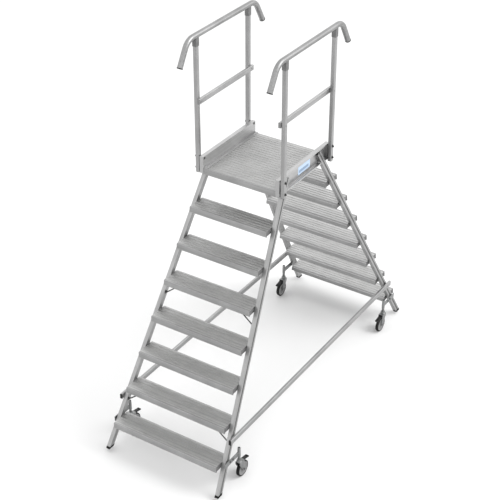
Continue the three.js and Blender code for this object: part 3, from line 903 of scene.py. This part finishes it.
def caster_bracket(corner):
    """A flat arm, bolted to the stile and welded to the sleeve that guides the stem."""
    name = f"{corner}_caster_bracket"
    sleeve_low, sleeve_high = 202, 278
    sleeve = turned([
        (10.7, sleeve_low), (11.5, sleeve_low), (12, sleeve_low + 0.6), (12, 244),
        (10.4, sleeve_high - 1), (9.8, sleeve_high), (8.5, sleeve_high),
        (8.5, POCKET_TOP), (10.7, POCKET_TOP), (10.7, sleeve_low),
    ], (0, 0, 0), Z_AXIS)
    arm = extruded([(-182, -20), (-11.4, -20), (-11.4, 20), (-182, 20)], ARM_THICKNESS, 3, 4)
    rounded(arm, 0.7, 2, 60)
    laid_across(arm, -ARM_THICKNESS / 2, ARM_Z)
    seams = [
        rod((x, -11.6, ARM_Z - 18), (x, -11.6, ARM_Z + 18), 2.2, 12, 1)
        for x in (-2.8, 2.8)
    ]
    finish(placed(joined(sleeve, arm, *seams), caster_place(corner)), f"{name}_welded", ZINC,
           replaces=[name])
    bolts = [bolt((ARM_THICKNESS / 2, y, ARM_Z), X_AXIS, 13, 3) for y in (-112, -78)]
    finish(placed(joined(*bolts), caster_place(corner)), f"{corner}_bracket_bolts", ZINC)


def caster_stem(corner):
    """The pin that slides in the sleeve, with the collar that the spring stands on."""
    name = f"{corner}_caster_stem"
    stem = turned([
        (0, 166), (14.4, 166), (15, 166.6), (15, 173), (14.2, 174), (8, 174), (8, 268),
        (5.5, 272), (0, 272),
    ], (0, 0, 0), Z_AXIS)
    finish(placed(stem, caster_place(corner)), f"{name}_pin", ZINC, f"{corner}_stem",
           [name])


def caster_spring(corner):
    """The spring that lifts the ladder off its feet; on the real caster it closes up as the stem is
    pushed in, but here it is drawn at one length.
    """
    coils, wire, radius = 5, 0.9, 9.4
    bottom, top = 174.2, POCKET_TOP - 0.3
    steps = 18
    bm = bmesh.new()
    bmesh.ops.create_circle(bm, cap_ends=False, radius=wire, segments=8)
    placed(bm, Matrix.Translation((radius, 0, bottom + wire)) @ Matrix.Rotation(math.pi / 2, 4, "X"))
    climb = (top - bottom - 2 * wire) / (coils * steps)
    bmesh.ops.spin(
        bm, geom=bm.verts[:] + bm.edges[:], cent=(0, 0, 0), axis=(0, 0, 1), dvec=(0, 0, climb),
        angle=coils * 2 * math.pi, steps=coils * steps, use_merge=False,
    )
    bmesh.ops.remove_doubles(bm, verts=bm.verts, dist=1e-4)
    bmesh.ops.holes_fill(bm, edges=[e for e in bm.edges if e.is_boundary], sides=8)
    piece = finish(placed(bm, caster_place(corner)), f"{corner}_caster_spring", ZINC,
                   smooth=60)
    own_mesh(piece)


def fork_leg(side):
    """One side of the fork: a pressed plate that hangs behind the wheel's axle."""
    foot_radius = 14
    lean = math.pi / 7
    arc = [
        math.pi + lean / 2 + i * (math.pi + lean / 2) / 10 for i in range(11)
    ]
    outline = [(-19, 152), (-19, 130)]
    outline += [(AXLE.y + foot_radius * math.cos(a), AXLE.z + foot_radius * math.sin(a)) for a in arc]
    outline += [(PEDAL_PIVOT.y + 12, PEDAL_PIVOT.z), (PEDAL_PIVOT.y + 10, 152)]
    leg = extruded(outline, 3)
    rounded(leg, 0.8, 2, 60)
    inner = side * 17 if side > 0 else -20
    return laid_across(leg, inner)


def caster_fork(corner):
    """A swivel head, a crown and two pressed legs, with the axle and the pedal's pin."""
    name = f"{corner}_caster_fork"
    body = f"{corner}_fork"
    head = turned([
        (0, 150), (18.4, 150), (19, 150.8), (19, 155), (16.5, 157), (18.6, 159.5),
        (18.6, 163), (17, 165.4), (0, 165.4),
    ], (0, 0, 0), Z_AXIS)
    crown = block((-FORK_HALF + 0.5, -18.5, 149), (FORK_HALF - 0.5, 37.5, 152.6), 0.9)
    parts = [head, crown, fork_leg(1), fork_leg(-1)]
    axle = rod(AXLE - X_AXIS * 20, AXLE + X_AXIS * 20, 5, 20)
    pin = rod(PEDAL_PIVOT - X_AXIS * 21.5, PEDAL_PIVOT + X_AXIS * 21.5, 3, 16, 0.6)
    parts += [axle, pin]
    for side in (1, -1):
        outward = X_AXIS * side
        parts.append(bolt(AXLE + outward * FORK_HALF, outward, 13, 2.5 if side < 0 else 0))
    finish(placed(joined(*parts), caster_place(corner)), f"{name}_pressed", ZINC, body,
           [name])


def caster_wheel(corner):
    """A solid rubber tyre on a moulded centre with six spokes on each face."""
    name = f"{corner}_wheel"
    radius, tyre_half, seat = 62.5, 12.5, 53
    shoulder = [
        (radius - 4.6, tyre_half), (radius - 2.2, tyre_half - 1.0),
        (radius - 0.6, tyre_half - 3.2), (radius, tyre_half - 6.2),
    ]
    half = [(seat, tyre_half - 1), (seat + 1.5, tyre_half)] + shoulder
    tyre = turned(half + [(r, -h) for r, h in reversed(half)] + [half[0]], AXLE, X_AXIS, 64)
    finish(placed(tyre, caster_place(corner)), f"{name}_tyre", RUBBER, name, [name])
    bore, hub_half = 5.3, 14.5
    side = [
        (bore, hub_half), (12, hub_half), (13.2, hub_half - 1.2), (13.6, 8.5), (17, 7.6),
        (42, 8.6), (44, 11.4), (51.4, 11.9), (seat - 0.2, 11), (seat - 0.2, 9),
    ]
    centre = turned(side + [(r, -h) for r, h in reversed(side)] + [side[0]], AXLE, X_AXIS, 64)
    spokes = []
    for face in (1, -1):
        for i in range(6):
            turn = Matrix.Rotation(i * math.pi / 3, 4, "X")
            spoke = block((face * 7 - 2.2, -2.4, 15), (face * 7 + 2.2, 2.4, 44), 0.8)
            spokes.append(placed(spoke, Matrix.Translation(AXLE) @ turn))
    finish(placed(joined(centre, *spokes), caster_place(corner)), f"{name}_centre", GREY_PLASTIC,
           name)


def brake_pedal(corner):
    """A foot lever over the wheel, with raised bars across its tip."""
    name = f"{corner}_brake_pedal"
    body = f"{corner}_pedal"
    y, z = PEDAL_PIVOT.y, PEDAL_PIVOT.z
    outline = [
        (y - 4, z - 5), (y + 30, z - 5), (PEDAL_TIP_Y, z - 15), (PEDAL_TIP_Y, z - 6),
        (PEDAL_TIP_Y - 24, z - 2), (y + 22, z + 5), (y - 4, z + 5),
    ]
    lever = extruded(outline, PEDAL_WIDTH, 1.6, 3)
    rounded(lever, 1.2, 2, 60)
    laid_across(lever, -PEDAL_WIDTH / 2)
    boss = turned([(3.4, -16), (6.4, -16), (7, -15.4), (7, 15.4), (6.4, 16), (3.4, 16), (3.4, -16)],
                  PEDAL_PIVOT, X_AXIS, 24)
    bars = [
        block(
            (-11, PEDAL_TIP_Y - 5 - i * 6, z - 6 + i), (11, PEDAL_TIP_Y - 2.4 - i * 6, z - 3.6 + i),
            0.7,
        )
        for i in range(3)
    ]
    finish(placed(joined(lever, boss, *bars), caster_place(corner)), f"{name}_lever",
           BLACK_PLASTIC, body, [name])


for corner in CORNERS:
    caster_bracket(corner)
    caster_stem(corner)
    caster_spring(corner)
    caster_fork(corner)
    caster_wheel(corner)
    brake_pedal(corner)


# ---------------------------------------------------------------- side beams

BEAM_WALL = 3
POST_BOLT_Z = (1916, 2005)
SPACER_Z = (1891, 2017)
LABEL_Y = (-45, 115)
LABEL_Z = (1917, 1989)
BAND_Y = (-35, 95)
BAND_Z = (1931, 1953)


def bars_along_y(bm, x, z):
    """Lays a bar that was drawn along Z down along Y: its width stays X, its height is Z."""
    return placed(bm, Matrix.Translation((x, 0, z)) @ Matrix.Rotation(-math.pi / 2, 4, "X"))


def end_cap(width, height, wall, thick, at, outward):
    """A plug that closes a rectangular bar: a rounded flange and a short spigot inside."""
    flange = extruded(rectangle(width, height), thick, 4, 4)
    rounded(flange, 0.8, 2, 60)
    spigot = extruded(rectangle(width - 2 * wall - 0.4, height - 2 * wall - 0.4), 12, 1.6, 2)
    placed(spigot, Matrix.Translation((0, 0, -12)))
    both = joined(flange, spigot)
    turn = Matrix.Rotation(-math.pi / 2 if outward > 0 else math.pi / 2, 4, "X")
    return placed(both, Matrix.Translation(at) @ turn)


def side_beam(side):
    """The CAD's beam, with its spacers and the bolts that hold the posts."""
    mirror = SIDES[side]
    dress(f"{side}_side_beam", BEAM_METAL, 1.2)
    spacers = [
        block(
            (BEAM_OUTER_X + GAP, y - 6, SPACER_Z[0]),
            (POST_X - POST_SIZE / 2 - GAP, y + 6, SPACER_Z[1]), 1,
        )
        for y in (-POST_Y, POST_Y)
    ]
    finish(placed(joined(*spacers), mirror), f"{side}_beam_spacers", BLACK_PLASTIC)
    bolts = []
    outer_face = POST_X + POST_SIZE / 2
    for y in (-POST_Y, POST_Y):
        for z in POST_BOLT_Z:
            bolts.append(bolt((outer_face, y, z), X_AXIS, 13, 6))
            bolts.append(dome((BEAM_INNER_X, y, z), -X_AXIS, 10, 4.5))
    finish(placed(joined(*bolts), mirror), f"{side}_post_bolts", DARK_STEEL)


def label():
    """A blank two-tone label on the right-hand beam's web."""
    web = BEAM_INNER_X + BEAM_WALL
    field = block((web, LABEL_Y[0], LABEL_Z[0]), (web + 0.5, LABEL_Y[1], LABEL_Z[1]), 0.15, 1)
    finish(field, "blank_label", LABEL_FIELD)
    band = block((web + 0.4, BAND_Y[0], BAND_Z[0]), (web + 0.7, BAND_Y[1], BAND_Z[1]), 0.1, 1)
    finish(band, "blank_label_band", LABEL_BAND)


for side in SIDES:
    side_beam(side)
label()


# ---------------------------------------------------------------- guard rails and tie bars

HANDRAIL_Z = 2910
HANDRAIL_RADIUS = 20
HANDRAIL_WALL = 2
BEND_RADIUS = 100
BEND = math.radians(60)
BEND_CORNER_Y = 411
HANDRAIL_END_Z = low("right_handrail").z + HANDRAIL_RADIUS * math.cos(BEND)


def handrail(side):
    """A round tube that is bent down at both ends."""
    name = f"{side}_handrail"
    bm = bmesh.new()
    outer = bmesh.ops.create_circle(bm, radius=HANDRAIL_RADIUS, segments=40)["verts"]
    inner = bmesh.ops.create_circle(
        bm, radius=HANDRAIL_RADIUS - HANDRAIL_WALL, segments=40)["verts"]
    rims = {e for v in outer + inner for e in v.link_edges}
    ring = bmesh.ops.bridge_loops(bm, edges=list(rims))["faces"]
    placed(bm, Matrix.Translation((POST_X, 0, HANDRAIL_Z)) @ Matrix.Rotation(-math.pi / 2, 4, "X"))
    start_of_bend = BEND_CORNER_Y - BEND_RADIUS * math.tan(BEND / 2)

    def lengthen(faces, along):
        grown = bmesh.ops.extrude_face_region(bm, geom=faces)["geom"]
        bmesh.ops.delete(bm, geom=faces, context="FACES_ONLY")
        verts = [g for g in grown if isinstance(g, bmesh.types.BMVert)]
        bmesh.ops.translate(bm, vec=along, verts=verts)
        return [g for g in grown if isinstance(g, bmesh.types.BMFace)]

    ring = lengthen(ring, (0, start_of_bend, 0))
    bent = bmesh.ops.spin(
        bm, geom=ring, cent=(POST_X, start_of_bend, HANDRAIL_Z - BEND_RADIUS),
        axis=(1, 0, 0), angle=-BEND, steps=12,
    )
    bmesh.ops.delete(bm, geom=ring, context="FACES_ONLY")
    ring = [g for g in bent["geom_last"] if isinstance(g, bmesh.types.BMFace)]
    end_of_bend_z = HANDRAIL_Z - BEND_RADIUS * (1 - math.cos(BEND))
    run = (end_of_bend_z - HANDRAIL_END_Z) / math.sin(BEND)
    lengthen(ring, (0, run * math.cos(BEND), -run * math.sin(BEND)))
    start = [v for v in bm.verts if abs(v.co.y) < 1e-4]
    middle_faces = [f for f in bm.faces if all(abs(v.co.y) < 1e-4 for v in f.verts)]
    bmesh.ops.delete(bm, geom=middle_faces, context="FACES_ONLY")
    for vert in start:
        vert.co.y = 0
    both = joined(bm.copy(), placed(bm, HALF_TURN @ MIRROR))
    bmesh.ops.remove_doubles(both, verts=both.verts, dist=1e-3)
    placed(both, SIDES[side])
    finish(both, f"{name}_tube", HANDRAIL_METAL, replaces=[name])
    plugs = []
    down = Vector((0, math.cos(BEND), -math.sin(BEND)))
    corner_to_end = (HANDRAIL_Z - HANDRAIL_END_Z) / math.sin(BEND)
    tip = Vector((POST_X, BEND_CORNER_Y, HANDRAIL_Z)) + down * corner_to_end
    for turn in (Matrix.Identity(4), HALF_TURN @ MIRROR):
        plug = turned([
            (0, -14), (17.6, -14), (17.6, -0.2), (20.2, -0.2), (20.2, -3.6), (21, -4),
            (21.3, -3.4), (21.3, 1.6), (20.2, 2.8), (9, 3.4), (0, 3.4),
        ], tip, down, 40)
        plugs.append(placed(plug, turn))
    finish(placed(joined(*plugs), SIDES[side]), f"{side}_handrail_plugs", BLACK_PLASTIC)


def post(end, side):
    """A square tube with a plug in its lower end."""
    name = f"{end}_{side}_post"
    base, top = low(name).z, high(name).z
    bm = hollow_bar(POST_SIZE, POST_SIZE, BAR_WALL, BAR_CORNER, top - base)
    y = -POST_Y if end == "front" else POST_Y
    placed(bm, SIDES[side] @ Matrix.Translation((POST_X, y, base)))
    finish(bm, f"{name}_tube", BARS_UPRIGHT, replaces=[name])
    cap = extruded(rectangle(POST_SIZE - 0.6, POST_SIZE - 0.6), 2.4, 4, 4)
    rounded(cap, 0.7, 2, 60)
    placed(cap, SIDES[side] @ Matrix.Translation((POST_X, y, base - 2.4)))
    finish(cap, f"{name}_bottom_plug", BLACK_PLASTIC)


def knee_rail(side):
    """A flat bar between the posts, with a cap on each end."""
    name = f"{side}_knee_rail"
    half = high(name).y
    bm = hollow_bar(*FLAT_BAR, BAR_WALL, BAR_CORNER, 2 * half)
    placed(bm, Matrix.Translation((0, 0, -half)))
    placed(bars_along_y(bm, KNEE_X, KNEE_Z), SIDES[side])
    finish(bm, f"{name}_tube", BARS_ALONG_Y, replaces=[name])
    caps = joined(*[
        end_cap(*FLAT_BAR, BAR_WALL, 2.4, (KNEE_X, sign * half, KNEE_Z), sign) for sign in (1, -1)
    ])
    finish(placed(caps, SIDES[side]), f"{side}_knee_rail_caps", GREY_PLASTIC)
    bolts = []
    for y in (-POST_Y, POST_Y):
        bolts.append(dome((KNEE_X - FLAT_BAR[0] / 2, y, KNEE_Z), -X_AXIS, 8, 3.5))
        bolts.append(dome((POST_X + POST_SIZE / 2, y, KNEE_Z), X_AXIS, 6.5, 3.2))
    finish(placed(joined(*bolts), SIDES[side]), f"{side}_knee_rail_bolts", ZINC)


def tie_bar(side):
    """A flat bar from the front stile to the rear one, with a cap on each end."""
    name = f"{side}_tie_bar"
    half = high(name).y
    bm = hollow_bar(*FLAT_BAR, BAR_WALL, BAR_CORNER, 2 * half)
    placed(bm, Matrix.Translation((0, 0, -half)))
    placed(bars_along_y(bm, TIE_X, TIE_Z), SIDES[side])
    finish(bm, f"{name}_tube", BARS_ALONG_Y, replaces=[name])
    caps = joined(*[
        end_cap(*FLAT_BAR, BAR_WALL, 4.5, (TIE_X, sign * half, TIE_Z), sign) for sign in (1, -1)
    ])
    finish(placed(caps, SIDES[side]), f"{side}_tie_bar_caps", BLACK_PLASTIC)
    crossing = abs(stile_centre(TIE_Z).y)
    bolts = [
        dome((TIE_X + FLAT_BAR[0] / 2, y, TIE_Z), X_AXIS, 8, 3.5) for y in (-crossing, crossing)
    ]
    finish(placed(joined(*bolts), SIDES[side]), f"{side}_tie_bar_bolts", ZINC)


for side in SIDES:
    handrail(side)
    knee_rail(side)
    tie_bar(side)
    for end in ENDS:
        post(end, side)
        dress(f"{end}_{side}_rail_connector", CAST_METAL, 1.4)


# ---------------------------------------------------------------- studio

def add_floor():
    """A flat floor, much wider than the view."""
    bm = bmesh.new()
    bmesh.ops.create_grid(bm, x_segments=1, y_segments=1, size=40)
    mesh = bpy.data.meshes.new("floor")
    bm.to_mesh(mesh)
    bm.free()
    mesh.materials.append(floor_paint())
    floor = bpy.data.objects.new("floor", mesh)
    bpy.context.scene.collection.objects.link(floor)


def add_light(name, location, target, size, power):
    """A square area light that faces a target."""
    data = bpy.data.lights.new(name, "AREA")
    data.shape = "SQUARE"
    data.size = size
    data.energy = power
    light = bpy.data.objects.new(name, data)
    light.location = location
    light.rotation_euler = (Vector(target) - Vector(location)).to_track_quat("-Z", "Y").to_euler()
    bpy.context.scene.collection.objects.link(light)


def add_studio():
    add_floor()
    middle = (0, 0, 1.2)
    add_light("key", (7, 3, 8), middle, 6, 700)
    world = bpy.data.worlds.new("studio")
    world.use_nodes = True
    background = world.node_tree.nodes["Background"]
    background.inputs["Color"].default_value = linear("#ffffff")
    background.inputs["Strength"].default_value = 1.5
    bpy.context.scene.world = world
    bpy.context.scene.view_settings.view_transform = "Standard"


add_studio()
